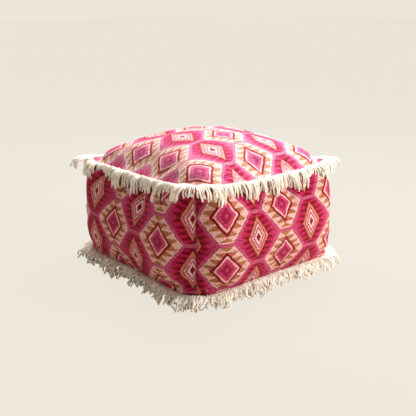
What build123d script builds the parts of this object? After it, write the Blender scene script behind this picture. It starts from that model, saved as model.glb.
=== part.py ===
# Square floor cushion: a zipped woven cover with brush fringe in its top and base seams,
# and a sewn lining bag full of fibre inside it.
# Origin: centre of the base, on the floor. +Z up. The front is -Y and the right side is +X.
import os
from math import atan2, degrees, pi, sin

from build123d import *

# Cover, in millimetres
base_seam = 33  # height of the base seam above the floor
top_seam = 323  # height of the top seam
base_half = 290  # from the middle to the base seam, across the flats
top_half = 264
swell_out = 29  # how far a side swells past its seams at half height
base_corner = 95  # plan radius of a corner at the base seam
top_corner = 40
swell_corner = 67  # what the swelling adds to that radius at half height
crown = 90  # rise of the top panel's middle above the top seam
crown_power = 2.2  # how full the crown is: 2 is a parabola
crown_tip = 0.05  # the crown's last section, as a share of the seam's width
flat_share = 0.75  # the part of the base's width that rests flat on the floor
tuck_power = 1.6  # how the base curls up from there to its seam
cloth = 1.6  # woven cover cloth
section_count = 7

# Lining bag and filling
gap = 0.4  # between one layer and the next
lining = 0.6

# Fringe
heading_out = 2.4  # how far the woven heading stands out of the seam
heading_height = 5
tuft_count = 160  # all round one seam
tuft_width = 9.5
tuft_thickness = 4
top_tuft_reach = 20
top_tuft_drop = 40
base_tuft_reach = 34
base_tuft_lift = 0.5  # the loose ends' height above the floor

# Zip, across the middle of the base
zip_half = 170  # half the length of its teeth
recess_margin = 12  # ceiling of the recess past the teeth, at each end
recess_ceiling = 6.4
recess_ceiling_half_width = 17
recess_slope_x = 20
recess_slope_y = 38
slot_half_width = 7
tape_half_width = 15
tape_thickness = 0.7
tape_inner_edge = 1.4
coil_gap = 2.0  # between the two rows of teeth, where the slider's wedge runs
coil_width = 2.2
coil_height = 2.2
tooth_pitch = 2.5
tooth_depth = 0.7
stop_length = 4
slider_length = 12
slider_half_width = 4.6
slider_plate = 1.3
slider_play = 0.4
slider_wall = 1.0
wedge_half_width = 0.65
arch_length = 5
arch_half_width = 1.25
arch_bar = 0.9
arch_height = 2.6
pull_length = 24
pull_half_width = 4
pull_thickness = 1.0
pull_bar_radius = 0.55
pull_eye_length = 4.2
pull_eye_half_width = 1.7

sides = {"right": 0, "back": 90, "left": 180, "front": 270}  # direction that each faces
tape_level = recess_ceiling + cloth  # underside of the zip's tapes
os.makedirs("parts", exist_ok=True)


def write(piece, label):
    piece.part.label = label
    export_step(piece.part, f"parts/{label}.step")


# The cover's shape, drawn in from its outer face by inset


def barrel(inset):
    # the four swollen sides, between the two seams
    with BuildPart() as body:
        for i in range(section_count):
            share = i / (section_count - 1)
            swell = sin(pi * share)
            half = base_half + (top_half - base_half) * share + swell_out * swell - inset
            corner = base_corner + (top_corner - base_corner) * share + swell_corner * swell
            with BuildSketch(Plane.XY.offset(base_seam + (top_seam - base_seam) * share)):
                RectangleRounded(2 * half, 2 * half, corner - inset)
        loft()
    return body.part


def dome(inset):
    # the crowned top, above its seam
    with BuildPart() as body:
        for i in range(section_count):
            share = 1 - (1 - crown_tip) * i / (section_count - 1)
            half = (top_half - inset) * share
            rise = (crown - inset) * (1 - share**crown_power)
            roundness = 1 - share * (1 - (top_corner - inset) / (top_half - inset))
            with BuildSketch(Plane.XY.offset(top_seam + rise)):
                RectangleRounded(2 * half, 2 * half, half * roundness)
        loft()
    return body.part


def dish(inset):
    # the base, below its seam: flat on the floor and curled up at its edge
    with BuildPart() as body:
        for i in range(section_count):
            share = i / (section_count - 1)
            width_share = flat_share + (1 - flat_share) * share
            half = (base_half - inset) * width_share
            level = inset + (base_seam - inset) * share**tuck_power
            with BuildSketch(Plane.XY.offset(level)):
                RectangleRounded(2 * half, 2 * half, (base_corner - inset) * width_share)
        loft()
    return body.part


# The hollow in the base that lifts the zip off the floor, spread sideways by spread


def recess(low, ceiling, spread):
    half_length = zip_half + recess_margin + spread
    half_width = recess_ceiling_half_width + spread
    with BuildPart() as body:
        with BuildSketch(Plane.XY.offset(low)):
            Rectangle(2 * (half_length + recess_slope_x), 2 * (half_width + recess_slope_y))
        with BuildSketch(Plane.XY.offset(ceiling)):
            Rectangle(2 * half_length, 2 * half_width)
        loft()
    return body.part


def sector(direction, shell):
    # the quarter of a shell between two corners
    reach = 2 * base_half
    with BuildPart() as quarter:
        add(shell)
        with BuildSketch(Plane.XY.rotated((0, 0, direction))):
            with BuildLine():
                Polyline((0, 0), (reach, -reach), (reach, reach), close=True)
            make_face()
        extrude(amount=2 * top_seam, mode=Mode.INTERSECT)
    return quarter


# Cover: crowned top, four swollen sides, and a base in two halves that meet at the zip

with BuildPart() as top_panel:
    add(dome(0))
    add(dome(cloth), mode=Mode.SUBTRACT)
write(top_panel, "top_panel")

with BuildPart() as cover_sides:
    add(barrel(0))
    add(barrel(cloth), mode=Mode.SUBTRACT)
for side_name, direction in sides.items():
    write(sector(direction, cover_sides.part), f"{side_name}_panel")

with BuildPart() as base_cloth:
    add(dish(0))
    add(dish(cloth), mode=Mode.SUBTRACT)
    add(recess(cloth, tape_level, 0))
    add(recess(0, recess_ceiling, 0), mode=Mode.SUBTRACT)
    with BuildSketch():
        Rectangle(2 * (zip_half + stop_length), 2 * slot_half_width)
    extrude(amount=tape_level, mode=Mode.SUBTRACT)
for side_name, keep in (("back", Keep.TOP), ("front", Keep.BOTTOM)):
    with BuildPart() as base_piece:
        add(base_cloth.part)
        split(bisect_by=Plane.XZ.rotated((180, 0, 0)), keep=keep)
    write(base_piece, f"base_panel_{side_name}")

# Lining bag, sewn from six pieces, and the fibre that fills it

lining_inset = cloth + gap
lining_face = lining_inset + lining  # inner face of the lining
lining_ceiling = tape_level + 3  # clear of the slider
lining_spread = 6
with BuildPart() as insert_top:
    add(dome(lining_inset))
    add(dome(lining_face), mode=Mode.SUBTRACT)
write(insert_top, "insert_top")

with BuildPart() as lining_sides:
    add(barrel(lining_inset))
    add(barrel(lining_face), mode=Mode.SUBTRACT)
for side_name, direction in sides.items():
    write(sector(direction, lining_sides.part), f"insert_{side_name}")

with BuildPart() as insert_base:
    add(dish(lining_inset))
    add(dish(lining_face), mode=Mode.SUBTRACT)
    add(recess(lining_face, lining_ceiling + lining, lining_spread))
    add(recess(lining_inset, lining_ceiling, lining_spread), mode=Mode.SUBTRACT)
write(insert_base, "insert_base")

fill_inset = lining_face + gap
with BuildPart() as filling:
    add(barrel(fill_inset))
    add(dome(fill_inset))
    add(dish(fill_inset))
    add(recess(fill_inset, lining_ceiling + lining + gap, 2 * lining_spread), mode=Mode.SUBTRACT)
write(filling, "filling")

# Fringe: a woven heading caught in each seam, with bunches of yarn that hang from it


def heading(seam, half, corner):
    with BuildPart() as band:
        with BuildSketch(Plane.XY.offset(seam - heading_height / 2)):
            side = 2 * (half + heading_out)
            RectangleRounded(side, side, corner + heading_out)
        extrude(amount=heading_height)
        add(barrel(0), mode=Mode.SUBTRACT)
        add(dome(0), mode=Mode.SUBTRACT)
        add(dish(0), mode=Mode.SUBTRACT)
    return band


def tuft(outline):
    # a bunch with this outline, seen along the seam: x is outwards and y is up
    with BuildPart() as bunch:
        with BuildSketch(Plane.XZ):
            with BuildLine():
                Polyline(*outline, close=True)
            make_face()
        extrude(amount=tuft_width / 2, both=True)
    return bunch.part


def seam_places(seam, half, corner):
    # evenly spaced places round the heading's outer edge, each facing outwards
    side = 2 * (half + heading_out)
    with BuildSketch() as outline:
        RectangleRounded(side, side, corner + heading_out)
    path = outline.sketch.face().outer_wire()
    for i in range(tuft_count):
        share = (i + 0.5) / tuft_count
        point = path.position_at(share)
        out = path.tangent_at(share).cross(Vector(0, 0, 1))
        if out.dot(point) < 0:
            out = -out
        yield Location(Plane(point + Vector(0, 0, seam), x_dir=out, z_dir=(0, 0, 1)))


def faces(place, direction):
    angle = degrees(atan2(place.position.Y, place.position.X))
    return abs((angle - direction + 180) % 360 - 180) <= 45


def fringe(label, seam, half, corner, outline):
    write(heading(seam, half, corner), f"{label}_heading")
    bunch = tuft(outline)
    places = list(seam_places(seam, half, corner))
    for name, direction in sides.items():
        with BuildPart() as row:
            with Locations(*[place for place in places if faces(place, direction)]):
                add(bunch)
        write(row, f"{label}_{name}")


half_thick = tuft_thickness / 2
top_outline = [
    (0, half_thick),
    (top_tuft_reach / 2, 0),
    (top_tuft_reach * 0.8, -3 * half_thick),
    (top_tuft_reach, -top_tuft_drop),
    (top_tuft_reach - tuft_thickness, -top_tuft_drop),
    (top_tuft_reach * 0.8 - tuft_thickness, -4 * half_thick),
    (top_tuft_reach / 2 - half_thick, -2 * half_thick),
    (0, -half_thick),
]
fringe("top_fringe", top_seam, top_half, top_corner, top_outline)

base_tuft_drop = base_seam - base_tuft_lift
base_outline = [
    (0, half_thick),
    (base_tuft_reach * 0.4, -base_tuft_drop * 0.2),
    (base_tuft_reach, tuft_thickness - base_tuft_drop),
    (base_tuft_reach, -base_tuft_drop),
    (base_tuft_reach - tuft_thickness, -base_tuft_drop),
    (0, -half_thick),
]
fringe("base_fringe", base_seam, base_half, base_corner, base_outline)

# Zip: tapes, two rows of teeth, end stops

for side_name, sign in (("back", 1), ("front", -1)):
    with BuildPart() as zip_tape:
        with BuildSketch(Plane.XY.offset(tape_level)):
            with Locations((0, sign * (tape_inner_edge + tape_half_width) / 2)):
                Rectangle(2 * (zip_half + recess_margin - 1), tape_half_width - tape_inner_edge)
        extrude(amount=tape_thickness)
    write(zip_tape, f"zip_tape_{side_name}")

    with BuildPart() as zip_coil:
        inner = coil_gap / 2
        with BuildSketch(Plane.XY.offset(tape_level - coil_height)):
            with Locations((0, sign * (inner + tooth_depth / 2 + coil_width / 2))):
                Rectangle(2 * zip_half, coil_width - tooth_depth)
            with Locations((0, sign * (inner + tooth_depth / 2))):
                with GridLocations(tooth_pitch, 0, int(2 * zip_half / tooth_pitch), 1):
                    Rectangle(tooth_pitch / 2, tooth_depth)
        extrude(amount=coil_height)
    write(zip_coil, f"zip_coil_{side_name}")

stop_height = coil_height + 0.4
with BuildPart() as zip_top_stops:
    with BuildSketch(Plane.XY.offset(tape_level - stop_height)):
        for sign in (-1, 1):
            with Locations((zip_half + stop_length / 2, sign * (coil_gap + coil_width) / 2)):
                Rectangle(stop_length, coil_width)
    extrude(amount=stop_height)
write(zip_top_stops, "zip_top_stops")

with BuildPart() as zip_bottom_stop:
    with BuildSketch(Plane.XY.offset(tape_level - stop_height)):
        with Locations((-zip_half - stop_length / 2, 0)):
            Rectangle(stop_length, coil_gap + 2 * coil_width)
    extrude(amount=stop_height)
write(zip_bottom_stop, "zip_bottom_stop")

# Slider: two plates round the teeth, joined by the wedge between them, with an arch
# under the lower plate that holds the pull

slider_x = zip_half - 1 - slider_length / 2  # 1 mm short of the top stops
lower_top = tape_level - coil_height - slider_play
lower_low = lower_top - slider_plate
upper_low = tape_level + tape_thickness + slider_play
with BuildPart() as zip_slider:
    for low in (lower_low, upper_low):
        with BuildSketch(Plane.XY.offset(low)):
            with Locations((slider_x, 0)):
                RectangleRounded(slider_length, 2 * slider_half_width, 3)
        extrude(amount=slider_plate)
    with BuildSketch(Plane.XY.offset(lower_low)):
        with Locations((slider_x + slider_length / 4, 0)):
            Rectangle(slider_length / 3, 2 * wedge_half_width)
    extrude(until=Until.LAST)
    with BuildSketch(Plane.XY.offset(lower_low)):
        for sign in (-1, 1):
            with Locations((slider_x, sign * (slider_half_width - slider_wall / 2))):
                Rectangle(slider_length / 2, slider_wall)
    extrude(amount=slider_plate + coil_height)
    with BuildSketch(Plane.XZ) as arch:
        with Locations((slider_x, lower_low - arch_height / 2)):
            Rectangle(arch_length, arch_height)
        with Locations((slider_x, lower_low - (arch_height - arch_bar) / 2)):
            Rectangle(arch_length - 2 * arch_bar, arch_height - arch_bar, mode=Mode.SUBTRACT)
    extrude(amount=arch_half_width, both=True)
write(zip_slider, "zip_slider")

# Pull: a flat tab whose cross bar turns in the slider's arch

pull_z = lower_low - (arch_height - arch_bar) / 2
with BuildPart() as zip_pull:
    with BuildSketch(Plane.XY.offset(pull_z - pull_thickness / 2)):
        with Locations((slider_x + (pull_length - pull_bar_radius) / 2, 0)):
            RectangleRounded(pull_length + pull_bar_radius, 2 * pull_half_width, 2)
        with Locations((slider_x + pull_eye_length / 2, 0)):
            Rectangle(pull_eye_length, 2 * pull_eye_half_width, mode=Mode.SUBTRACT)
    extrude(amount=pull_thickness)
    with BuildSketch(Plane.XZ):
        with Locations((slider_x, pull_z)):
            Circle(pull_bar_radius)
    extrude(amount=pull_half_width - 1, both=True)
write(zip_pull, "zip_pull")

print("slider at", slider_x, "travel", 2 * slider_x, "pull axis height", round(pull_z, 3))
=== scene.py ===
from math import copysign, cos, pi, radians, sin

import bpy
import numpy as np
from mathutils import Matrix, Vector


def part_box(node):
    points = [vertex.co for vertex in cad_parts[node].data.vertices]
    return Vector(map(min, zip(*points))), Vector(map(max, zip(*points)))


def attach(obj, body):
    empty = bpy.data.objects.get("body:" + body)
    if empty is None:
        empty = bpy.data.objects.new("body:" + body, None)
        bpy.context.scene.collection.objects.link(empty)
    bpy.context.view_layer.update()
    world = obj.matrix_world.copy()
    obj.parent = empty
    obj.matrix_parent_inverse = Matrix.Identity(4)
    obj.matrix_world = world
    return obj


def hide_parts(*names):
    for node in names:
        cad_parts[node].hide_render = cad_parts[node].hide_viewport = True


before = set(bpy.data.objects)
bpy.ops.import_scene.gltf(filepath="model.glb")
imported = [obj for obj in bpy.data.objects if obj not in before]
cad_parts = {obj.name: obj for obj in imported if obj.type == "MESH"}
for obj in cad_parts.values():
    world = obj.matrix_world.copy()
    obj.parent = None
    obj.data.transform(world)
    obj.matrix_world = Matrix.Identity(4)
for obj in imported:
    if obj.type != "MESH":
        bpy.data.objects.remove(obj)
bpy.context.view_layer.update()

print("frame loaded")

scene = bpy.context.scene
scene.view_settings.view_transform = "Standard"
body = "cushion"
sideNames = ["front", "right", "back", "left"]


def linear(hexColour):  # an sRGB hex value as linear RGBA
    parts = [int(hexColour[i:i + 2], 16) / 255 for i in (1, 3, 5)]
    return [p / 12.92 if p <= 0.04045 else ((p + 0.055) / 1.055) ** 2.4 for p in parts] + [1]


mathNode, vectorNode, mixNode = "ShaderNodeMath", "ShaderNodeVectorMath", "ShaderNodeMix"
rangeNode, noiseNode, bumpNode = "ShaderNodeMapRange", "ShaderNodeTexNoise", "ShaderNodeBump"
resampleNode, storeNode = "GeometryNodeResampleCurve", "GeometryNodeStoreNamedAttribute"
circleNode = "GeometryNodeCurvePrimitiveCircle"


def addNode(tree, kind, links=(), **settings):
    # settings are the node's own; links go to its inputs, in order or by name: each is a value,
    # a socket, or a node, which stands for its first output
    node = tree.nodes.new(kind)
    for name, value in settings.items():
        setattr(node, name, value)
    pairs = links.items() if isinstance(links, dict) else enumerate(links)
    for name, value in pairs:
        if isinstance(value, bpy.types.Node):
            value = value.outputs[0]
        if isinstance(value, bpy.types.NodeSocket):
            tree.links.new(value, node.inputs[name])
        else:
            node.inputs[name].default_value = value
    return node


def newMaterial(name):
    material = bpy.data.materials.new(name)
    material.use_nodes = True
    material.node_tree.nodes.clear()
    return material, material.node_tree


def newObject(name, points, faces, material=None):
    mesh = bpy.data.meshes.new(name)
    mesh.from_pydata([tuple(p) for p in points], [], faces)
    mesh.update()
    if material:
        mesh.materials.append(material)
    item = bpy.data.objects.new(name, mesh)
    scene.collection.objects.link(item)
    return item


def applyAll(item):  # the evaluated shape becomes the mesh, and the modifiers go
    graph = bpy.context.evaluated_depsgraph_get()
    mesh = bpy.data.meshes.new_from_object(item.evaluated_get(graph))
    item.modifiers.clear()
    item.data = mesh
    return item


# Sizes read from the frame, in metres

topBox, baseBox, sideBox = (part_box(n) for n in ("top_panel", "base_panel_front", "right_panel"))
size = {
    "topSeam": topBox[0].z,
    "topHalf": topBox[1].x,
    "crown": topBox[1].z - topBox[0].z,
    "baseSeam": baseBox[1].z,
    "baseHalf": baseBox[1].x,
    "swellHalf": sideBox[1].x,
}
shape = {
    "topCorner": 0.040,
    "baseCorner": 0.095,
    "swellCorner": 0.067,
    "crownPower": 1.7,
    "crownSquareness": 8,  # 2 would be a round crown
    "crownRise": 0.010,  # how much higher the filling pushes the crown
    "flatShare": 0.75,
    "tuckPower": 1.6,
    "across": 44,
    "up": 24,
}
swell = size["swellHalf"] - (size["topHalf"] + size["baseHalf"]) / 2


# Camera, lights and floor

view = {
    "azimuth": 49.9,
    "elevation": 17.1,
    "distance": 2.079,
    "target": (0, 0, 0.169),
    "lens": 57.6,
}
light = {
    "paper": "#ece6da",
    "ambient": 0.40,
    "keyPower": 53,
    "keyFrom": (1.35, 1.25, 1.25),
    "keySize": 0.9,
    "skyPower": 108,
    "skyFrom": (-0.6, 0.85, 2.1),
    "skySize": 1.6,
    "floorShade": 0.03,
    "floorReach": 30,
    "aimedAt": (0, 0, 0.25),
}


def aim(item, place, target):
    item.location = place
    item.rotation_euler = (Vector(target) - Vector(place)).to_track_quat("-Z", "Y").to_euler()
    scene.collection.objects.link(item)


def makeStudio():
    azimuth, elevation = radians(view["azimuth"]), radians(view["elevation"])
    back = Vector((sin(azimuth) * cos(elevation), -cos(azimuth) * cos(elevation), sin(elevation)))
    lens = bpy.data.cameras.new("camera")
    lens.lens = view["lens"]
    camera = bpy.data.objects.new("camera", lens)
    aim(camera, Vector(view["target"]) + back * view["distance"], view["target"])
    scene.camera = camera
    for name, power, place, width in (
        ("key", light["keyPower"], light["keyFrom"], light["keySize"]),
        ("sky", light["skyPower"], light["skyFrom"], light["skySize"]),
    ):
        lamp = bpy.data.lights.new(name, "AREA")
        lamp.energy, lamp.size = power, width
        aim(bpy.data.objects.new(name, lamp), place, light["aimedAt"])
    paper = linear(light["paper"])
    world = bpy.data.worlds.new("paper")
    world.use_nodes = True
    tree = world.node_tree
    tree.nodes.clear()
    seen = addNode(tree, "ShaderNodeLightPath")  # its first output is whether the camera sees it
    strength = addNode(tree, rangeNode, {0: seen, 3: light["ambient"], 4: 1.0})
    glow = addNode(tree, "ShaderNodeBackground", [paper, strength])
    addNode(tree, "ShaderNodeOutputWorld", [glow])
    scene.world = world
    # painted board: matt, with a glow that evens out its shade
    board, tree = newMaterial("paintedBoard")
    matt = addNode(tree, "ShaderNodeBsdfDiffuse", [paper])
    even = addNode(tree, "ShaderNodeEmission", [paper, 1.0])
    seen = addNode(tree, "ShaderNodeLightPath")
    share = addNode(tree, mathNode, [seen, 1 - light["floorShade"]], operation="MULTIPLY")
    both = addNode(tree, "ShaderNodeMixShader", [share, matt, even])
    addNode(tree, "ShaderNodeOutputMaterial", [both])
    reach = light["floorReach"]
    corners = [(-reach, -reach, 0), (reach, -reach, 0), (reach, reach, 0), (-reach, reach, 0)]
    newObject("floor", corners, [(0, 1, 2, 3)], board)


makeStudio()
print("studio made")


# Kilim: woven wool and cotton, flat and matt, in a honeycomb of cream and magenta hexagons

kilim = {
    "columnStep": 0.104,
    "repeat": 0.139,
    "halfWidth": 0.082,
    # each motif: its diamond's half width and half height, and its teeth's width and height
    "creamMotif": (0.043, 0.046, 0.030, 0.017),
    "magentaMotif": (0.035, 0.055, 0.034, 0.0138),
    "toothShare": 0.86,
    "edgeFrom": 0.9,
    "borderShare": 0.07,
    "thread": 0.0024,  # real threads are about 1 mm apart, too fine to show
    "wander": 0.0022,
    "wanderScale": 90,
    "batchScale": 260,
    # least and most brightness: dye batches, ribs of the weft, single threads
    "fleck": (0.58, 1.38),
    "rib": (0.78, 1.16),
    "speck": (0.72, 1.28),
    "border": "#b84c6c",
    "creamGround": "#e0a79b",
    "creamEdge": "#eac4b6",
    "creamTooth": "#a96543",
    "outline": "#830516",
    "heartLine": "#e2aca8",
    "heartOuter": "#bb385c",
    "heartInner": "#96183f",
    "magentaGround": "#b21849",
    "magentaTooth": "#7a0614",
    "tan": "#c27758",
    "mauve": "#b44865",
    "pale": "#e5beb3",
    "mauveBand": "#ba4569",
    "sheen": "#f7b9c4",
}
creamBands = (
    (1.1, "outline"), (0.88, "heartLine"), (0.74, "heartOuter"), (0.45, "heartInner"), (0.12, "mauve")
)
magentaBands = (
    (1.0, "tan"), (0.8, "mauve"), (0.64, "creamEdge"), (0.57, "mauve"), (0.4, "pale"), (0.24, "outline")
)


def kilimCloth(name, paintedPaling):
    material, tree = newMaterial(name)
    step, half = kilim["columnStep"], kilim["repeat"] / 2
    wide = kilim["halfWidth"]
    slant = (2 * wide - step) / (wide * half)  # how fast a hexagon's sloping side comes in

    onCloth = addNode(tree, "ShaderNodeUVMap", uv_map="cloth").outputs[0]
    # slight wander in the woven lines
    wander = addNode(tree, noiseNode, {"Vector": onCloth, "Scale": kilim["wanderScale"], "Detail": 2})
    centred = addNode(tree, vectorNode, [wander.outputs["Color"], (0.5, 0.5, 0.5)], operation="SUBTRACT")
    shift = addNode(tree, vectorNode, {0: centred, "Scale": kilim["wander"]}, operation="SCALE")
    place = addNode(tree, vectorNode, [onCloth, shift], operation="ADD")
    # slanting edges step from thread to thread
    stepped = addNode(tree, vectorNode, [place, (kilim["thread"],) * 3], operation="SNAP")
    uv = addNode(tree, "ShaderNodeSeparateXYZ", [stepped])
    exact = addNode(tree, "ShaderNodeSeparateXYZ", [onCloth])
    # distances from the middle of the nearest cream and magenta hexagon
    creamX = addNode(tree, mathNode, [uv.outputs[0], step], operation="PINGPONG")
    creamY = addNode(tree, mathNode, [uv.outputs[1], half], operation="PINGPONG")
    magentaX = addNode(tree, mathNode, [step, creamX], operation="SUBTRACT")
    magentaY = addNode(tree, mathNode, [half, creamY], operation="SUBTRACT")

    def hexagon(x, y):  # 1 at its outline, 0 in its middle
        outwards = addNode(tree, mathNode, [x, wide], operation="DIVIDE")
        slope = addNode(tree, mathNode, [y, slant], operation="MULTIPLY")
        sloping = addNode(tree, mathNode, [outwards, slope], operation="ADD")
        level = addNode(tree, mathNode, [y, half], operation="DIVIDE")
        return addNode(tree, mathNode, [sloping, level], operation="MAXIMUM")

    def motif(x, y, halfWidth, halfHeight, toothWidth, toothHeight):
        # a diamond, 1 at its outline, and rows of teeth that stand on it
        outwards = addNode(tree, mathNode, [x, halfWidth], operation="DIVIDE")
        level = addNode(tree, mathNode, [y, halfHeight], operation="DIVIDE")
        diamond = addNode(tree, mathNode, [outwards, level], operation="ADD")
        row = addNode(tree, mathNode, [y, toothHeight], operation="DIVIDE")
        along = addNode(tree, mathNode, [row], operation="FRACT")
        whole = addNode(tree, mathNode, [row], operation="FLOOR")
        foot = addNode(tree, mathNode, [whole, toothHeight], operation="MULTIPLY")
        used = addNode(tree, mathNode, [foot, halfHeight], operation="DIVIDE")
        left = addNode(tree, mathNode, [1.0, used], operation="SUBTRACT")
        edge = addNode(tree, mathNode, [left, halfWidth], operation="MULTIPLY")
        edge = addNode(tree, mathNode, [edge, 0.0], operation="MAXIMUM")
        length = addNode(tree, mathNode, [along, toothWidth], operation="MULTIPLY")
        tip = addNode(tree, mathNode, [edge, length], operation="ADD")
        within = addNode(tree, mathNode, [x, tip], operation="LESS_THAN")
        solid = addNode(tree, mathNode, [along, kilim["toothShare"]], operation="LESS_THAN")
        return diamond, addNode(tree, mathNode, [within, solid], operation="MULTIPLY")

    def woven(ground, layers, diamond, bands):
        # layers over the ground, then the diamond's bands, each from where its colour starts
        for start, colour in bands:
            inside = addNode(tree, mathNode, [diamond, start], operation="LESS_THAN")
            layers.append((inside, colour))
        cloth = linear(kilim[ground])
        for share, colour in layers:
            colours = {0: share, 6: cloth, 7: linear(kilim[colour])}
            cloth = addNode(tree, mixNode, colours, data_type="RGBA").outputs[2]
        return cloth

    creamHex, magentaHex = hexagon(creamX, creamY), hexagon(magentaX, magentaY)
    diamond, teeth = motif(creamX, creamY, *kilim["creamMotif"])
    edgeLine = addNode(tree, mathNode, [creamHex, kilim["edgeFrom"]], operation="GREATER_THAN")
    layers = [(teeth, "creamTooth"), (edgeLine, "creamEdge")]
    cream = woven("creamGround", layers, diamond, creamBands)
    # the magenta ground pales towards the hexagon's side points
    diamond, teeth = motif(magentaX, magentaY, *kilim["magentaMotif"])
    paler = addNode(tree, rangeNode, {0: magentaX, 1: wide * 0.5, 2: wide})
    layers = [(paler, "mauveBand"), (teeth, "magentaTooth")]
    magenta = woven("magentaGround", layers, diamond, magentaBands)
    isCream = addNode(tree, mathNode, [creamHex, magentaHex], operation="LESS_THAN")
    both = addNode(tree, mixNode, {0: isCream, 6: magenta, 7: cream}, data_type="RGBA").outputs[2]
    nearest = addNode(tree, mathNode, [creamHex, magentaHex], operation="MINIMUM")
    border = addNode(tree, mathNode, [nearest, 1 - kilim["borderShare"]], operation="GREATER_THAN")
    colours = {0: border, 6: both, 7: linear(kilim["border"])}
    pattern = addNode(tree, mixNode, colours, data_type="RGBA").outputs[2]
    # the pattern is painted paler by the share given: painted light, used on the top panel only
    paintedPaleTone = addNode(tree, "ShaderNodeGamma", [pattern, 1 - paintedPaling])
    # yarn dyed in small batches, and the ribs of the weft
    batch = addNode(tree, noiseNode, {"Vector": onCloth, "Scale": kilim["batchScale"], "Detail": 3})
    low, high = kilim["fleck"]
    fleck = addNode(tree, rangeNode, {0: batch, 1: 0.3, 2: 0.7, 3: low, 4: high})
    waves = []
    for axis in (0, 1):
        spot = exact.outputs[axis]
        angle = addNode(tree, mathNode, [spot, 2 * pi / kilim["thread"]], operation="MULTIPLY")
        waves.append(addNode(tree, mathNode, [angle], operation="SINE"))
    weave = addNode(tree, mathNode, waves, operation="MULTIPLY")
    low, high = kilim["rib"]
    rib = addNode(tree, rangeNode, {0: weave, 1: -1, 2: 1, 3: low, 4: high})
    knot = addNode(tree, "ShaderNodeTexWhiteNoise", {"Vector": stepped}, noise_dimensions="2D")
    low, high = kilim["speck"]
    speck = addNode(tree, rangeNode, {0: knot, 3: low, 4: high})
    tone = addNode(tree, mathNode, [fleck, rib], operation="MULTIPLY")
    tone = addNode(tree, mathNode, [tone, speck], operation="MULTIPLY")
    tint = addNode(tree, vectorNode, {0: paintedPaleTone, "Scale": tone}, operation="SCALE")
    rough = addNode(tree, rangeNode, {0: batch, 3: 0.78, 4: 0.95})
    slubs = addNode(tree, mathNode, [batch, 1.5], operation="MULTIPLY")
    raised = addNode(tree, mathNode, [weave, slubs], operation="ADD")
    bump = addNode(tree, bumpNode, {"Strength": 0.5, "Distance": 0.0012, "Height": raised})
    finish = {
        "Base Color": tint,
        "Roughness": rough,
        "Normal": bump,
        "Sheen Weight": 0.15,
        "Sheen Roughness": 0.4,
        "Sheen Tint": linear(kilim["sheen"]),
        "Specular IOR Level": 0.08,
    }
    surface = addNode(tree, "ShaderNodeBsdfPrincipled", finish)
    addNode(tree, "ShaderNodeOutputMaterial", [surface])
    return material


waveUnit = pi / 10  # a wave texture of scale 1 repeats every this many metres


def plainCloth(name, colour, dark, thread, sheen=0.2):
    # a plain weave: two sets of threads at right angles, with slubs; thread is their spacing in
    # metres, two to three times the real cloth's, so that the weave shows
    material, tree = newMaterial(name)
    place = addNode(tree, "ShaderNodeTexCoord").outputs["Object"]
    slub = addNode(tree, noiseNode, {"Vector": place, "Scale": 180, "Detail": 3})
    threads = []
    for direction in ("X", "Y"):
        sizes = {"Vector": place, "Scale": waveUnit / (2 * thread), "Distortion": 0.4}
        wave = addNode(tree, "ShaderNodeTexWave", sizes, bands_direction=direction)
        threads.append(wave.outputs["Fac"])
    weave = addNode(tree, mathNode, threads, operation="MULTIPLY")
    height = addNode(tree, mathNode, [weave, slub], operation="ADD")
    share = addNode(tree, rangeNode, {0: height, 1: 0.3, 2: 1.3})
    tone = addNode(tree, mixNode, {0: share, 6: linear(dark), 7: linear(colour)}, data_type="RGBA")
    bump = addNode(tree, bumpNode, {"Strength": 0.4, "Distance": thread, "Height": height})
    finish = {
        "Base Color": tone.outputs[2],
        "Roughness": 0.9,
        "Normal": bump,
        "Sheen Weight": sheen,
        "Specular IOR Level": 0.2,
    }
    surface = addNode(tree, "ShaderNodeBsdfPrincipled", finish)
    addNode(tree, "ShaderNodeOutputMaterial", [surface])
    return material


yarnFinish = {
    "light": "#fcf4e8",
    "dark": "#e8d8c4",
    "turns": 14,  # twists in the length of one strand
    "unevenTwist": 5.0,
    "plyDepth": 0.6,
    "plyShade": 0.08,
}


def cottonYarn():
    # soft spun cotton: matt and uneven, with the twist of its plies showing as slanting dents
    material, tree = newMaterial("spunCottonYarn")
    place = addNode(tree, "ShaderNodeTexCoord").outputs["Object"]
    patch = addNode(tree, noiseNode, {"Vector": place, "Scale": 60, "Detail": 3})
    fuzz = addNode(tree, noiseNode, {"Vector": place, "Scale": 900, "Detail": 2})
    along = addNode(tree, "ShaderNodeAttribute", attribute_name="alongYarn").outputs["Fac"]
    slant = addNode(tree, mathNode, [fuzz, yarnFinish["unevenTwist"]], operation="MULTIPLY")
    twist = 2 * pi * yarnFinish["turns"]
    turns = addNode(tree, mathNode, [along, twist, slant], operation="MULTIPLY_ADD")
    ply = addNode(tree, mathNode, [turns], operation="SINE")
    fibre = addNode(tree, mathNode, [ply, yarnFinish["plyDepth"], fuzz], operation="MULTIPLY_ADD")
    mixed = addNode(tree, mathNode, [ply, yarnFinish["plyShade"], patch], operation="MULTIPLY_ADD")
    share = addNode(tree, rangeNode, {0: mixed, 1: 0.35, 2: 0.65})
    colours = {0: share, 6: linear(yarnFinish["dark"]), 7: linear(yarnFinish["light"])}
    tone = addNode(tree, mixNode, colours, data_type="RGBA")
    bump = addNode(tree, bumpNode, {"Strength": 0.5, "Distance": 0.0007, "Height": fibre})
    rough = addNode(tree, rangeNode, {0: fuzz, 3: 0.8, 4: 0.98})
    finish = {
        "Base Color": tone.outputs[2],
        "Roughness": rough,
        "Normal": bump,
        "Sheen Weight": 0.3,
        "Specular IOR Level": 0.2,
    }
    surface = addNode(tree, "ShaderNodeBsdfPrincipled", finish)
    addNode(tree, "ShaderNodeOutputMaterial", [surface])
    return material


kilimMaterial = kilimCloth("kilimFlatWeave", 0.0)
paintedLitTopMaterial = kilimCloth("kilimFlatWeavePaintedLight", 0.40)  # the top's cloth is painted paler: a painted highlight for the light that falls on the top
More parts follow.
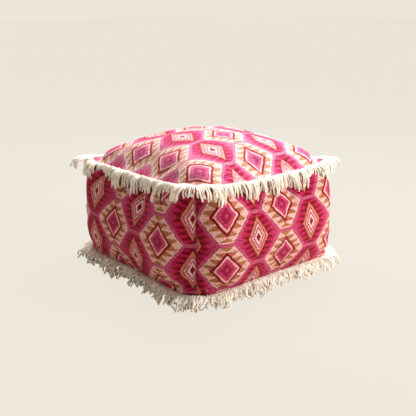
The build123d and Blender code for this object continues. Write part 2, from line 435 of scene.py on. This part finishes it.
# duck: heavy plain cotton, matt, with a weave that shows close to
baseMaterial = plainCloth("cottonDuckBase", "#8e1f3c", "#5c0d22", 0.0018)
# calico: thin unbleached cotton, fine and dull
liningMaterial = plainCloth("calicoLining", "#e8e0d0", "#cfc4ae", 0.0012)
# polyester fibre: white, with the soft sheen of a loose surface
fibreMaterial = plainCloth("polyesterFibre", "#f3f1ec", "#dddad2", 0.004, sheen=0.4)
yarnMaterial = cottonYarn()
print("materials made")


# Cover: a closed bag of six panels, swollen by cloth pressure

cloth = {
    "pressure": 10,
    "frames": 24,
    "stiffness": 15,
    "bending": 2,
    "mass": 0.3,
    "slack": -0.02,  # cloth cut larger than the shape it is drawn over
    "pucker": 0.05,  # how far the sewing draws a seam up
    "cap": 0.012,  # the furthest that a point may move
    "evening": 60,  # rounds of averaging that part the broad swelling from the wrinkles
    "broadShare": 0.95,
    "wrinkles": 2.2,
    "thickness": 0.0016,
    "seamCrease": 0.006,
}
cornerPull = {  # how far each corner of the top seam stands out, and up, like ears
    (1, -1): (0.004, 0.016),
    (1, 1): (0.006, 0.010),
    (-1, 1): (0.006, 0.006),
    (-1, -1): (0.017, 0.002),
}
# where the pull centres inside the corner, how far round it reaches, how flat it is, and the
# share of a move along the diagonal that goes each way
ears = {"inset": 0.012, "reach": 0.11, "flatness": 0.8, "slantShare": 0.707}
# panels as cut; the top is as wide as a side
flat = {"width": 0.556, "height": 0.300, "baseWidth": 0.58, "baseHeight": 0.29}
# where a cream hexagon's middle falls on each panel, from the panel's middle across
# and from the floor up; on the top panel along X and Y
patternPlace = {
    "front": (-0.045, 0.176),
    "right": (0.014, 0.111),
    "back": (-0.062, 0.15),
    "left": (0.03, 0.09),
    "top": (0.076, -0.005),
}


def seamOutline(share, half, corner):
    # a point on a rounded square's side, x along it and y outwards; share runs -1 to 1
    straight = half - corner
    travel = abs(share) * (straight + corner * pi / 4)
    if travel <= straight:
        return copysign(travel, share), half
    angle = (travel - straight) / corner
    return copysign(straight + corner * sin(angle), share), half - corner + corner * cos(angle)


def turned(x, y, side):
    return ((x, -y), (y, x), (-x, y), (-y, -x))[side]


def sidePoint(share, level, side):
    bulge = sin(pi * level)
    half = size["baseHalf"] + (size["topHalf"] - size["baseHalf"]) * level + swell * bulge
    corner = shape["baseCorner"] + (shape["topCorner"] - shape["baseCorner"]) * level
    x, y = turned(*seamOutline(share, half, corner + shape["swellCorner"] * bulge), side)
    return x, y, size["baseSeam"] + (size["topSeam"] - size["baseSeam"]) * level


def squarePoint(a, b, half, corner):
    # a and b run -1 to 1; the outside follows the seam and the middle is a plain square grid
    reach = max(abs(a), abs(b))
    if reach == 0:
        return 0, 0
    a, b = a / reach, b / reach
    if abs(b) >= abs(a):
        side, share = (0, a) if b < 0 else (2, -a)
    else:
        side, share = (1, b) if a > 0 else (3, -b)
    x, y = turned(*seamOutline(share, half, corner), side)
    rounding = reach**3
    return (
        reach * (a * half * (1 - rounding) + x * rounding),
        reach * (b * half * (1 - rounding) + y * rounding),
    )


def topPoint(a, b):
    x, y = squarePoint(a, b, size["topHalf"], shape["topCorner"])
    squareness = shape["crownSquareness"]
    edge = min(1, (a**squareness + b**squareness) ** (1 / squareness))
    height = size["crown"] + shape["crownRise"]
    return x, y, size["topSeam"] + height * (1 - edge ** shape["crownPower"])


def basePoint(a, b):
    x, y = squarePoint(a, b, size["baseHalf"], shape["baseCorner"])
    curl = max(0, (max(abs(a), abs(b)) - shape["flatShare"]) / (1 - shape["flatShare"]))
    return x, y, size["baseSeam"] * curl ** shape["tuckPower"]


across = [-1 + 2 * i / shape["across"] for i in range(shape["across"] + 1)]
upward = [j / shape["up"] for j in range(shape["up"] + 1)]


def buildCover():
    # returns the shared points, and each panel's grid of point numbers
    points, numbers = [], {}

    def number(point):
        key = tuple(round(c, 6) for c in point)
        if key not in numbers:
            numbers[key] = len(points)
            points.append(key)
        return numbers[key]

    grids = {
        name: np.array([[number(sidePoint(s, v, side)) for v in upward] for s in across])
        for side, name in enumerate(sideNames)
    }
    grids["top"] = np.array([[number(topPoint(a, b)) for b in across] for a in across])
    grids["base"] = np.array([[number(basePoint(a, b)) for b in reversed(across)] for a in across])
    return np.array(points), grids


def gridFaces(grid):
    return np.stack([grid[:-1, :-1], grid[1:, :-1], grid[1:, 1:], grid[:-1, 1:]], -1).reshape(-1, 4)


def swellCover(points, grids):
    # cloth pressure fills the bag out, and the drawn-up seams pucker it
    faces = np.concatenate([gridFaces(g) for g in grids.values()]).tolist()
    bag = newObject("swellingBag", points, faces)
    held = bag.vertex_groups.new(name="held")
    for index in np.unique(grids["base"]):
        held.add([int(index)], 1.0, "REPLACE")
    drawn = bag.vertex_groups.new(name="drawnUp")
    for grid in grids.values():
        for edge in (grid[0], grid[-1], grid[:, 0], grid[:, -1]):
            drawn.add([int(i) for i in edge], 1.0, "REPLACE")
    modifier = bag.modifiers.new("Cloth", "CLOTH")
    setup = modifier.settings
    setup.quality = 5
    setup.mass = cloth["mass"]
    setup.air_damping = 8
    setup.tension_stiffness = setup.compression_stiffness = cloth["stiffness"]
    setup.shear_stiffness = cloth["stiffness"] / 3
    setup.bending_stiffness = cloth["bending"]
    setup.use_pressure = True
    setup.uniform_pressure_force = cloth["pressure"]
    setup.effector_weights.gravity = 0
    setup.vertex_group_mass = "held"
    setup.vertex_group_shrink = "drawnUp"
    setup.shrink_min, setup.shrink_max = cloth["slack"], cloth["pucker"]
    modifier.collision_settings.use_collision = False
    modifier.point_cache.frame_start, modifier.point_cache.frame_end = 1, cloth["frames"]
    for step in range(1, cloth["frames"] + 1):
        scene.frame_set(step)
    graph = bpy.context.evaluated_depsgraph_get()
    swollen = np.array([v.co for v in bag.evaluated_get(graph).data.vertices])
    scene.frame_set(1)
    bpy.data.objects.remove(bag)
    move = swollen - points
    # the broad swelling is already in the shape, so mostly the wrinkles are kept
    broad = move.copy()
    quads = np.array(faces)
    links = np.concatenate([quads[:, [i, (i + 1) % 4]] for i in range(4)])
    shares = np.bincount(links.ravel(), minlength=len(points))[:, None]
    for step in range(cloth["evening"]):
        total = np.zeros_like(broad)
        for near, far in ((0, 1), (1, 0)):
            np.add.at(total, links[:, near], broad[links[:, far]])
        broad = total / shares
    move = (move - broad * cloth["broadShare"]) * cloth["wrinkles"]
    length = np.linalg.norm(move, axis=1, keepdims=True)
    return points + move * np.minimum(1, cloth["cap"] / np.maximum(length, 1e-9))


def normalsOf(points, faces):
    faces = np.array(faces)
    diagonals = [points[faces[:, i + 2]] - points[faces[:, i]] for i in (0, 1)]
    faceNormals = np.cross(*diagonals)
    normals = np.zeros_like(points)
    for corner in range(4):
        np.add.at(normals, faces[:, corner], faceNormals)
    return normals / np.maximum(np.linalg.norm(normals, axis=1, keepdims=True), 1e-12)


def panelPiece(name, points, grid, material, thickness, levels, clothPlace=None):
    used, local = np.unique(grid, return_inverse=True)
    local = local.reshape(grid.shape)
    piece = newObject(name, points[used], gridFaces(local).tolist(), material)
    if clothPlace:
        layer = piece.data.uv_layers.new(name="cloth")
        flatPlaces = {}
        lastI, lastJ = grid.shape[0] - 1, grid.shape[1] - 1
        for i in range(lastI + 1):
            for j in range(lastJ + 1):
                flatPlaces[int(local[i, j])] = clothPlace(i / lastI, j / lastJ)
        for loop in piece.data.loops:
            layer.data[loop.index].uv = flatPlaces[loop.vertex_index]
    for polygon in piece.data.polygons:
        polygon.use_smooth = True
    if levels:
        smooth = piece.modifiers.new("smooth", "SUBSURF")
        smooth.levels = smooth.render_levels = levels
        smooth.boundary_smooth = "PRESERVE_CORNERS"
    wall = piece.modifiers.new("thickness", "SOLIDIFY")
    wall.thickness, wall.offset = thickness, -1
    return piece


def pullCorners(points):
    # the corners of the top seam stand out and up like ears
    moved = points.copy()
    for (signX, signY), (out, up) in cornerPull.items():
        corner = np.array([signX, signY, 0]) * (size["topHalf"] - ears["inset"])
        corner[2] = size["topSeam"]
        offset = (points - corner) / (1, 1, ears["flatness"])
        near = np.exp(-((np.linalg.norm(offset, axis=1) / ears["reach"]) ** 2))[:, None]
        slant = out * ears["slantShare"]
        moved += near * np.array([signX * slant, signY * slant, up])
    return moved


points, grids = buildCover()
points = swellCover(points, grids)
points = pullCorners(points)
coverFaces = np.concatenate([gridFaces(g) for g in grids.values()])
outward = normalsOf(points, coverFaces)
for name in sideNames:  # a sewn corner sits in a shallow groove
    for edge in (grids[name][0], grids[name][-1]):
        between = edge[1:-1]
        points[between] -= outward[between] * cloth["seamCrease"] / 2
print("cover swollen", len(points), "points")


def sideCloth(name):
    middle, height = patternPlace[name]
    rise = (height - size["baseSeam"]) / (size["topSeam"] - size["baseSeam"])
    return lambda i, j: ((i - 0.5) * flat["width"] - middle, (j - rise) * flat["height"])


def topCloth(i, j):
    alongX, alongY = patternPlace["top"]
    width = flat["width"]
    return (j - 0.5) * width - alongY, (i - 0.5) * width - alongX


coverPieces = {}
for name in sideNames:
    coverPieces[name] = panelPiece(
        f"{name}_cover", points, grids[name], kilimMaterial, cloth["thickness"], 1, sideCloth(name)
    )
coverPieces["top"] = panelPiece(
    "top_cover", points, grids["top"], paintedLitTopMaterial, cloth["thickness"], 1, topCloth
)
print("cover panels made")


# Base: two plain panels that meet at the zip, in a hollow that lifts it off the floor

hollow = {
    "ceiling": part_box("zip_tape_back")[0].z - cloth["thickness"],
    "slot": 0.007,  # half the gap that the teeth run in
    "slotEnd": 0.176,
    "halfLength": 0.202,
    "halfWidth": 0.055,
    "slopeX": 0.020,
    "slopeY": 0.038,
    "wrinkle": 0.0012,
    # shares of the way out to the seam: columns at the slot's ends, rows in the hollow, rows past it
    "endColumns": (0.6, 0.61, 0.62),
    "rows": (0, 0.0245, 0.042, 0.0586, 0.09, 0.125, 0.16, 0.19),
    "outerFrom": 0.25,
    "outerRows": 16,
    # the ripples between the flat and the seam: how close, from where and how strong
    "rippleAlong": 41,
    "rippleOut": 23,
    "rippleFrom": 0.7,
    "ripples": 12,
}


def hollowed(x, y, z, spread=0.0, lift=0.0):
    inX = (hollow["halfLength"] + spread - abs(x)) / hollow["slopeX"]
    inY = (hollow["halfWidth"] + spread - abs(y)) / hollow["slopeY"]
    return x, y, max(z, (hollow["ceiling"] + lift) * max(0, min(1, inX, inY)))


def baseGrid(side):
    # columns along the zip and rows from it out to the seam
    ends = hollow["endColumns"]
    columns = sorted([*across, *ends, *(-a for a in ends)])
    start, outer = hollow["outerFrom"], hollow["outerRows"]
    rows = [*hollow["rows"], *(start + (1 - start) * i / outer for i in range(outer + 1))]
    places, numbers = [], []
    for a in columns:
        for b in rows:
            x, y, z = basePoint(a, side * b)
            if abs(x) < hollow["slotEnd"]:
                y = side * max(abs(y), hollow["slot"])
            ripple = sin(a * hollow["rippleAlong"]) * sin(b * hollow["rippleOut"])
            ripple *= max(0, b - hollow["rippleFrom"]) * (1 - b) * hollow["ripples"]
            x, y, z = hollowed(x, y, z + hollow["wrinkle"] * max(0, ripple))
            numbers.append(len(places))
            places.append((x, y, z))
    grid = np.array(numbers).reshape(len(columns), len(rows))
    return np.array(places), grid if side < 0 else grid[:, ::-1]


basePieces = {}
for name, side in (("front", -1), ("back", 1)):
    basePoints, grid = baseGrid(side)
    piece = panelPiece(f"{name}_base_cover", basePoints, grid, baseMaterial, cloth["thickness"], 0)
    basePieces[name] = piece
print("base panels made")


# Inner cushion: a calico cover over a polyester fibre filling

inner = {
    "liningGap": 0.0045,
    "lining": 0.0006,
    "fillingGap": 0.0065,
    "zipRoom": 0.0045,  # space over the zip for its slider
    "fillingRoom": 0.0012,
    "spread": 0.006,
}


def inset(depth, spread, lift):
    moved = points - outward * depth
    for index in np.unique(grids["base"]):
        x, y, z = moved[index]
        moved[index] = hollowed(x, y, max(z, depth), spread, lift)
    return moved


outward = normalsOf(points, coverFaces)
liningPoints = inset(inner["liningGap"], inner["spread"], inner["zipRoom"])
liningPieces = {}
for name in (*sideNames, "top", "base"):
    liningPieces[name] = panelPiece(
        f"{name}_lining", liningPoints, grids[name], liningMaterial, inner["lining"], 0
    )
fillingPoints = inset(inner["fillingGap"], 2 * inner["spread"], inner["zipRoom"] + inner["fillingRoom"])
fillingPiece = newObject("fibre_filling_pad", fillingPoints, coverFaces.tolist(), fibreMaterial)
for polygon in fillingPiece.data.polygons:
    polygon.use_smooth = True
print("inner cushion made")


# Fringe: bunches of cotton yarn on a woven heading, sewn into each seam

yarn = {
    "bunchPitch": 0.0165,
    "bunchShare": 0.62,  # the part of that pitch that a bunch fills at its root
    "perBunch": 6,
    "segments": 9,
    "rootRadius": 0.0028,
    "tipRadius": 0.0021,
    "stiffness": 2.0,  # powers of the way along a strand: how it stands out, hangs and leans
    "hang": 1.45,
    "lean": 1.3,
    "strandSway": 0.28,  # a strand's own sway, as a share of its bunch's
    "curlOut": 0.7,
    "depth": 0.0013,
    "floorGap": 1.2,
    "cornerShare": 0.28,
    "cornerPower": 1.5,
}
# what is drawn by chance, for each strand or bunch, between which limits
yarnChances = (
    ("shortfall", "strand", 0, 1),
    ("bunchLength", "bunch", 0.8, 1.12),
    ("bunchReach", "bunch", 0.6, 1.35),
    ("strandReach", "strand", 0.8, 1.2),
    ("curls", "strand", 5.0, 10.0),
    ("curlStart", "strand", 0, 6.28),
    ("bunchLean", "bunch", -1, 1),
    ("strandLean", "strand", -1, 1),
    ("depth", "strand", -1, 1),
)
topFringe = {
    "Reach": 0.027,
    "Drop": 0.044,
    "Arch": 0.009,
    "Curl": 0.0022,
    "Sway": 0.012,
    "Ragged": 0.2,
    "Thickness": 1.0,
    "firstSeed": 10,
    "cornerReach": 1.9,
    "cornerDrop": 0.45,
}
baseFringe = {
    "Reach": 0.034,
    "Drop": 0.0315,
    "Arch": 0.004,
    "Curl": 0.007,
    "Sway": 0.018,
    "Ragged": 0.25,
    "Thickness": 1.2,
    "firstSeed": 30,
    "cornerReach": 1.1,
    "cornerDrop": 1.0,
}
fringeInputs = ("Strands", "Reach", "Drop", "Arch", "Curl", "Sway", "Ragged", "Thickness", "Seed")


def fringeTree():
    tree = bpy.data.node_groups.new("fringe", "GeometryNodeTree")
    tree.interface.new_socket("Geometry", in_out="OUTPUT", socket_type="NodeSocketGeometry")
    tree.interface.new_socket("Seam", in_out="INPUT", socket_type="NodeSocketGeometry")
    for name in fringeInputs:
        kind = "NodeSocketInt" if name in ("Strands", "Seed") else "NodeSocketFloat"
        tree.interface.new_socket(name, in_out="INPUT", socket_type=kind)
    given = addNode(tree, "NodeGroupInput").outputs

    seam = addNode(tree, "GeometryNodeMeshToCurve", [given["Seam"]])
    roots = addNode(tree, resampleNode, {"Curve": seam, "Count": given["Strands"]})
    index = addNode(tree, "GeometryNodeInputIndex")
    count = addNode(tree, mathNode, [index, yarn["perBunch"]], operation="DIVIDE")
    bunch = addNode(tree, mathNode, [count], operation="FLOOR")
    part = addNode(tree, mathNode, [count], operation="FRACT")
    place = addNode(tree, mathNode, [part, 0.5], operation="SUBTRACT")
    kept = roots
    for name, value, kind in (("bunch", bunch, "INT"), ("strand", index, "INT"), ("place", place, "FLOAT")):
        kept = addNode(tree, storeNode, {"Geometry": kept, "Name": name, "Value": value}, data_type=kind)
    line = addNode(tree, "GeometryNodeCurvePrimitiveLine", {"Start": (0, 0, 0), "End": (0, 0, 1)})
    fine = addNode(tree, resampleNode, {"Curve": line, "Count": yarn["segments"] + 1})
    strands = addNode(tree, "GeometryNodeInstanceOnPoints", {"Points": kept, "Instance": fine})
    strands = addNode(tree, "GeometryNodeRealizeInstances", [strands])
    # each strand now stands up from its root; its points are laid along the real curve
    own = {}
    for name, kind in (
        ("outwards", "FLOAT_VECTOR"), ("bunch", "INT"), ("strand", "INT"),
        ("place", "FLOAT"), ("reachShare", "FLOAT"), ("dropShare", "FLOAT"),
    ):
        own[name] = addNode(tree, "GeometryNodeInputNamedAttribute", {"Name": name}, data_type=kind)
    drawn = {}
    for number, (name, owner, low, high) in enumerate(yarnChances, 1):
        seed = addNode(tree, mathNode, [given["Seed"], number], operation="ADD")
        limits = {2: low, 3: high, "ID": own[owner], "Seed": seed}
        drawn[name] = addNode(tree, "FunctionNodeRandomValue", limits, data_type="FLOAT").outputs[1]
    along = addNode(tree, "GeometryNodeSplineParameter").outputs[0]
    left = addNode(tree, mathNode, [1.0, along], operation="SUBTRACT")
    sideways = addNode(tree, vectorNode, [own["outwards"], (0, 0, 1)], operation="CROSS_PRODUCT")
    short = addNode(tree, mathNode, [given["Ragged"], drawn["shortfall"]], operation="MULTIPLY")
    length = addNode(tree, mathNode, [1.0, short], operation="SUBTRACT")
    length = addNode(tree, mathNode, [length, drawn["bunchLength"]], operation="MULTIPLY")
    # how far a strand stands out
    bend = addNode(tree, mathNode, [left, yarn["stiffness"]], operation="POWER")
    bend = addNode(tree, mathNode, [1.0, bend], operation="SUBTRACT")
    out = addNode(tree, mathNode, [given["Reach"], own["reachShare"]], operation="MULTIPLY")
    out = addNode(tree, mathNode, [out, drawn["bunchReach"]], operation="MULTIPLY")
    out = addNode(tree, mathNode, [out, drawn["strandReach"]], operation="MULTIPLY")
    out = addNode(tree, mathNode, [bend, out], operation="MULTIPLY")
    out = addNode(tree, mathNode, [out, length], operation="MULTIPLY")
    # its curl
    turn = addNode(tree, mathNode, [along, drawn["curls"]], operation="MULTIPLY")
    turn = addNode(tree, mathNode, [turn, drawn["curlStart"]], operation="ADD")
    curls = []
    for operation in ("SINE", "COSINE"):
        curl = addNode(tree, mathNode, [turn], operation=operation)
        curl = addNode(tree, mathNode, [curl, along], operation="MULTIPLY")
        curls.append(addNode(tree, mathNode, [curl, given["Curl"]], operation="MULTIPLY"))
    curlOut = addNode(tree, mathNode, [curls[1], yarn["curlOut"]], operation="MULTIPLY")
    # how far it leans along the seam
    sway = addNode(tree, mathNode, [drawn["bunchLean"], given["Sway"]], operation="MULTIPLY")
    stray = addNode(tree, mathNode, [given["Sway"], yarn["strandSway"]], operation="MULTIPLY")
    stray = addNode(tree, mathNode, [drawn["strandLean"], stray], operation="MULTIPLY")
    lean = addNode(tree, mathNode, [sway, stray], operation="ADD")
    later = addNode(tree, mathNode, [along, yarn["lean"]], operation="POWER")
    lean = addNode(tree, mathNode, [lean, later], operation="MULTIPLY")
    gather = -(1 - yarn["bunchShare"]) * yarn["bunchPitch"]
    gather = addNode(tree, mathNode, [own["place"], gather], operation="MULTIPLY")
    aside = addNode(tree, mathNode, [gather, lean], operation="ADD")
    aside = addNode(tree, mathNode, [aside, curls[0]], operation="ADD")
    # how far it rises and hangs
    arch = addNode(tree, mathNode, [along, left], operation="MULTIPLY")
    arch = addNode(tree, mathNode, [arch, 4.0], operation="MULTIPLY")
    arch = addNode(tree, mathNode, [arch, given["Arch"]], operation="MULTIPLY")
    depth = addNode(tree, mathNode, [drawn["depth"], yarn["depth"]], operation="MULTIPLY")
    hang = addNode(tree, mathNode, [along, yarn["hang"]], operation="POWER")
    hang = addNode(tree, mathNode, [hang, given["Drop"]], operation="MULTIPLY")
    droop = addNode(tree, mathNode, [own["dropShare"], length], operation="MULTIPLY")
    hang = addNode(tree, mathNode, [hang, droop], operation="MULTIPLY")
    total = None
    for direction, distance in (
        (own["outwards"], out), (own["outwards"], curlOut), (sideways, aside),
        ((0, 0, 1), arch), ((0, 0, 1), depth), ((0, 0, -1), hang), ((0, 0, -1), along),
    ):
        move = addNode(tree, vectorNode, {0: direction, "Scale": distance}, operation="SCALE")
        total = addNode(tree, vectorNode, [total, move], operation="ADD") if total else move
    laid = addNode(tree, "GeometryNodeSetPosition", {"Geometry": strands, "Offset": total})
    # loose ends rest on the floor
    spot = addNode(tree, "ShaderNodeSeparateXYZ", [addNode(tree, "GeometryNodeInputPosition")])
    lowest = yarn["rootRadius"] * yarn["floorGap"]
    rise = addNode(tree, mathNode, [lowest, spot.outputs[2]], operation="SUBTRACT")
    rise = addNode(tree, mathNode, [rise, 0.0], operation="MAXIMUM")
    lift = addNode(tree, "ShaderNodeCombineXYZ", {2: rise})
    laid = addNode(tree, "GeometryNodeSetPosition", {"Geometry": laid, "Offset": lift})
    marked = addNode(tree, storeNode, {"Geometry": laid, "Name": "alongYarn", "Value": along})
    taper = addNode(tree, rangeNode, {0: along, 3: yarn["rootRadius"], 4: yarn["tipRadius"]})
    radius = addNode(tree, mathNode, [taper, given["Thickness"]], operation="MULTIPLY")
    section = addNode(tree, circleNode, {"Resolution": 4, "Radius": 1.0})
    sweep = {"Curve": marked, "Profile Curve": section, "Scale": radius, "Fill Caps": True}
    tube = addNode(tree, "GeometryNodeCurveToMesh", sweep)
    smooth = addNode(tree, "GeometryNodeSetShadeSmooth", {"Geometry": tube})
    whole = addNode(tree, "GeometryNodeRealizeInstances", [smooth])
    painted = addNode(tree, "GeometryNodeSetMaterial", {"Geometry": whole, "Material": yarnMaterial})
    addNode(tree, "NodeGroupOutput", [painted])
    return tree


def grow(item, tree, values):
    # runs a node tree on a line of points and keeps the plain mesh
    modifier = item.modifiers.new(tree.name, "NODES")
    modifier.node_group = tree
    for socket in tree.interface.items_tree:
        if socket.in_out == "INPUT" and socket.name in values:
            modifier[socket.identifier] = values[socket.name]
    return applyAll(item)


def seamLine(name, places, closed=False):
    # a line of edges, each point with its outward direction
    places = np.array(places)
    count = len(places)
    mesh = bpy.data.meshes.new(name)
    edges = [(i, i + 1) for i in range(count - 1)] + ([(count - 1, 0)] if closed else [])
    mesh.from_pydata([tuple(p) for p in places], edges, [])
    item = bpy.data.objects.new(name, mesh)
    scene.collection.objects.link(item)
    if closed:
        course = np.roll(places, -1, axis=0) - np.roll(places, 1, axis=0)
    else:
        course = np.gradient(places, axis=0)
    sideOn = np.stack([course[:, 1], -course[:, 0], np.zeros(count)], -1)
    sideOn /= np.linalg.norm(sideOn, axis=1, keepdims=True)
    layer = mesh.attributes.new("outwards", "FLOAT_VECTOR", "POINT")
    layer.data.foreach_set("vector", sideOn.astype(np.float32).ravel())
    return item, mesh


def makeFringe(name, places, look, side):
    item, mesh = seamLine(name, places)
    last = len(places) - 1
    length = sum(np.linalg.norm(places[i + 1] - places[i]) for i in range(last))
    bunches = round(length / yarn["bunchPitch"])
    # near the corners the yarn stands out and hangs by another share
    share = yarn["cornerShare"]
    for label, corner in (("reachShare", look["cornerReach"]), ("dropShare", look["cornerDrop"])):
        values = []
        for i in range(last + 1):
            nearCorner = max(0, abs(2 * i / last - 1) - (1 - share)) / share
            values.append(1 + (corner - 1) * nearCorner ** yarn["cornerPower"])
        layer = mesh.attributes.new(label, "FLOAT", "POINT")
        layer.data.foreach_set("value", np.array(values, np.float32))
    values = dict(look, Strands=bunches * yarn["perBunch"], Seed=look["firstSeed"] + side)
    return grow(item, strandTree, values)


strandTree = fringeTree()
fringePieces = {}
for side, name in enumerate(sideNames):
    for level, look, row in (("top", topFringe, -1), ("base", baseFringe, 0)):
        fringePieces[level, name] = makeFringe(
            f"{level}_fringe_{name}_yarn", points[grids[name][:, row]], look, side
        )
print("fringe made")


# Headings and stitches

heading = {"radius": 0.0017, "points": 400}
stitch = {
    "pitch": 0.0032,
    "length": 0.0025,
    "thread": 0.0005,
    "fromZip": 0.0112,
    "endGap": 0.003,
}


def headingTree():
    # a cord of twisted cotton, swept along a closed seam
    tree = bpy.data.node_groups.new("heading", "GeometryNodeTree")
    tree.interface.new_socket("Geometry", in_out="OUTPUT", socket_type="NodeSocketGeometry")
    for name, kind in (("Seam", "Geometry"), ("Radius", "Float"), ("Points", "Int")):
        tree.interface.new_socket(name, in_out="INPUT", socket_type=f"NodeSocket{kind}")
    given = addNode(tree, "NodeGroupInput").outputs
    line = addNode(tree, "GeometryNodeMeshToCurve", [given["Seam"]])
    even = addNode(tree, resampleNode, {"Curve": line, "Count": given["Points"]})
    section = addNode(tree, circleNode, {"Resolution": 8, "Radius": given["Radius"]})
    tube = addNode(tree, "GeometryNodeCurveToMesh", {"Curve": even, "Profile Curve": section})
    smooth = addNode(tree, "GeometryNodeSetShadeSmooth", {"Geometry": tube})
    whole = addNode(tree, "GeometryNodeRealizeInstances", [smooth])
    painted = addNode(tree, "GeometryNodeSetMaterial", {"Geometry": whole, "Material": yarnMaterial})
    addNode(tree, "NodeGroupOutput", [painted])
    return tree


sweepTree = headingTree()
headingPieces = {}
for level, column in (("top", -1), ("base", 0)):
    ring = np.concatenate([points[grids[name][:-1, column]] for name in sideNames])
    item = seamLine(f"{level}_fringe_heading_braid", ring, closed=True)[0]
    headingValues = {"Radius": heading["radius"], "Points": heading["points"]}
    headingPieces[level] = grow(item, sweepTree, headingValues)
print("headings made")


def stitchTree():  # a row of stitches down each side of the zip
    tree = bpy.data.node_groups.new("stitches", "GeometryNodeTree")
    tree.interface.new_socket("Geometry", in_out="OUTPUT", socket_type="NodeSocketGeometry")
    tree.interface.new_socket("Seam", in_out="INPUT", socket_type="NodeSocketGeometry")
    for name in ("Pitch", "Length", "Thread"):
        tree.interface.new_socket(name, in_out="INPUT", socket_type="NodeSocketFloat")
    given = addNode(tree, "NodeGroupInput").outputs
    seam = addNode(tree, "GeometryNodeMeshToCurve", [given["Seam"]])
    places = addNode(tree, resampleNode, {"Curve": seam, "Length": given["Pitch"]}, mode="LENGTH")
    end = addNode(tree, "ShaderNodeCombineXYZ", {0: given["Length"]})
    line = addNode(tree, "GeometryNodeCurvePrimitiveLine", {"End": end})
    section = addNode(tree, circleNode, {"Resolution": 6, "Radius": given["Thread"]})
    sweep = {"Curve": line, "Profile Curve": section, "Fill Caps": True}
    one = addNode(tree, "GeometryNodeCurveToMesh", sweep)
    row = addNode(tree, "GeometryNodeInstanceOnPoints", {"Points": places, "Instance": one})
    whole = addNode(tree, "GeometryNodeRealizeInstances", [row])
    painted = addNode(tree, "GeometryNodeSetMaterial", {"Geometry": whole, "Material": threadMaterial})
    addNode(tree, "NodeGroupOutput", [painted])
    return tree


# polyester thread: smooth and even, a shade brighter than the cloth
threadMaterial = plainCloth("polyesterThread", "#a3314f", "#7a1f38", 0.0006)
start, end = -hollow["slotEnd"], hollow["slotEnd"] - stitch["endGap"]
rows = [
    ((start, y, hollow["ceiling"]), (end, y, hollow["ceiling"]))
    for y in (-stitch["fromZip"], stitch["fromZip"])
]
mesh = bpy.data.meshes.new("zip_stitching")
mesh.from_pydata([point for row in rows for point in row], [(0, 1), (2, 3)], [])
stitching = bpy.data.objects.new("zip_stitching", mesh)
scene.collection.objects.link(stitching)
stitchValues = {"Pitch": stitch["pitch"], "Length": stitch["length"], "Thread": stitch["thread"]}
grow(stitching, stitchTree(), stitchValues)
print("stitches made")


# Zip: nylon coil on a woven tape, with a zinc slider and pull


def zipMaterial(name, colour, roughness, metallic, scale, strength):
    material, tree = newMaterial(name)
    place = addNode(tree, "ShaderNodeTexCoord").outputs["Object"]
    grain = addNode(tree, noiseNode, {"Vector": place, "Scale": scale, "Detail": 4})
    clean = linear(colour)
    worn = [min(1, c * 1.25) for c in clean[:3]] + [1]
    share = addNode(tree, rangeNode, {0: grain, 1: 0.3, 2: 0.7})
    tone = addNode(tree, mixNode, {0: share, 6: clean, 7: worn}, data_type="RGBA")
    rough = addNode(tree, rangeNode, {0: grain, 3: roughness - 0.08, 4: roughness + 0.1})
    bump = addNode(tree, bumpNode, {"Strength": strength, "Distance": 0.0003, "Height": grain})
    finish = {"Base Color": tone.outputs[2], "Metallic": metallic, "Roughness": rough, "Normal": bump}
    surface = addNode(tree, "ShaderNodeBsdfPrincipled", finish)
    addNode(tree, "ShaderNodeOutputMaterial", [surface])
    return material


zipFinish = {
    # polyester tape: a close dyed weave, almost matt
    "zip_tape": plainCloth("polyesterZipTape", "#7d1b36", "#4d0c1e", 0.0009),
    # moulded nylon: a smooth plastic with a soft gloss
    "zip_coil": zipMaterial("mouldedNylonCoil", "#8a2440", 0.4, 0, 900, 0.2),
    # cast zinc, plated with nickel: a bright warm grey with a faint cast grain
    "metal": zipMaterial("castZincNickelled", "#b9b4a8", 0.32, 1, 500, 0.3),
}
for name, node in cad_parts.items():
    if name.startswith("zip"):
        finish = zipFinish.get(name.rsplit("_", 1)[0], zipFinish["metal"])
        for place in node.material_slots:
            place.material = finish
print("zip finished")


# Hide the frame nodes that the made pieces replace, and join the pieces to the cushion body

side, square = (flat["width"], flat["height"]), (flat["width"], flat["width"])
for name in sideNames:
    piece, lining = coverPieces[name], liningPieces[name]
    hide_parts(f"{name}_panel")
    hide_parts(f"insert_{name}")
    for level in ("top", "base"):
        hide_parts(f"{level}_fringe_{name}")
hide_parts("top_panel")
for name, piece in basePieces.items():
    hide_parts(f"base_panel_{name}")
for level in ("top", "base"):
    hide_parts(f"{level}_fringe_heading")
    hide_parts(f"insert_{level}")
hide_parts("filling")
for piece in (
    *coverPieces.values(), *basePieces.values(), *liningPieces.values(), *fringePieces.values(),
    *headingPieces.values(), fillingPiece, stitching,
):
    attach(piece, body)
